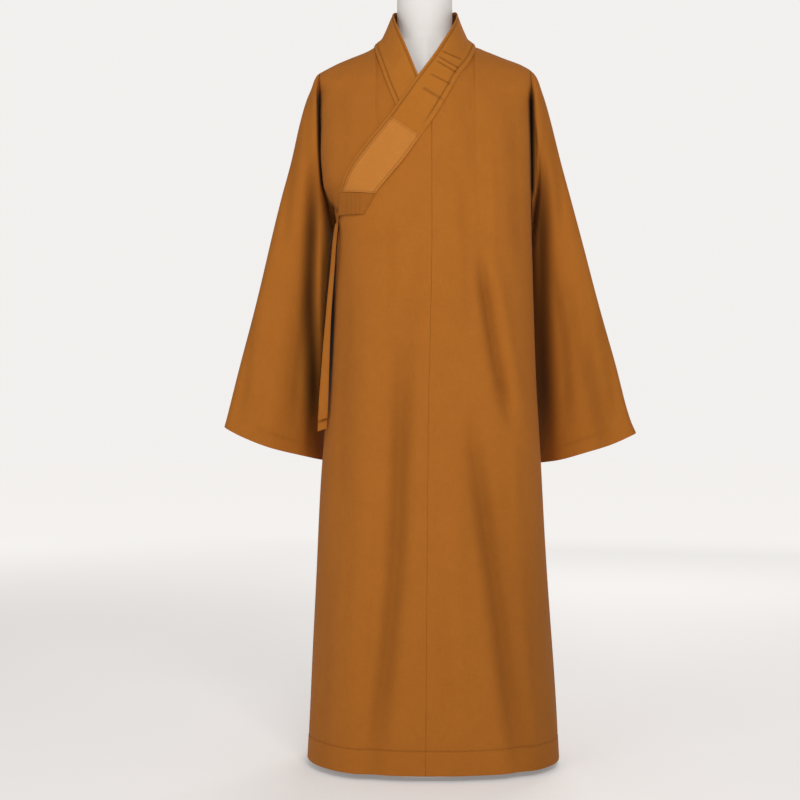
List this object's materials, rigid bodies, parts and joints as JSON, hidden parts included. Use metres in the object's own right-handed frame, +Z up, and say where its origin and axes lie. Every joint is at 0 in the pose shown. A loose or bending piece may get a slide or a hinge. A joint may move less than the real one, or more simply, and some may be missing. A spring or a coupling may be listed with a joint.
{
  "type": "buddhist monk robe on a dress form",
  "caption": "Long cross-collared robe with wide sleeves, a turned hem and side ties, standing on a plain limbless dress form with a pole and a round base.",
  "frame": {"origin": "centre of the stand base's underside, on the floor", "axes": "+Z up, -Y the robe's front, +X the wearer's left"},
  "size_m": [0.789, 0.3542, 1.512],
  "materials": {
    "robe_cloth": "soft matt weave",
    "patch_cloth": "soft matt weave",
    "form_cover": "smooth matt cover",
    "form_cap": "satin",
    "stand_steel": "satin paint"
  },
  "bodies": {
    "root": {"back_left": "robe_cloth", "back_right": "robe_cloth", "front_left": "robe_cloth", "front_overlap": "robe_cloth", "front_inner": "robe_cloth", "sleeve_left": "robe_cloth", "sleeve_right": "robe_cloth", "collar_outer": "robe_cloth", "collar_end": "robe_cloth", "collar_inner": "robe_cloth", "tie_outer": "robe_cloth", "tie_inner": "robe_cloth", "collar_patch": "patch_cloth", "form_torso": "form_cover", "form_neck": "form_cover", "form_cap": "form_cap", "stand_pole": "stand_steel", "stand_base": "stand_steel"}
  },
  "joints": []
}
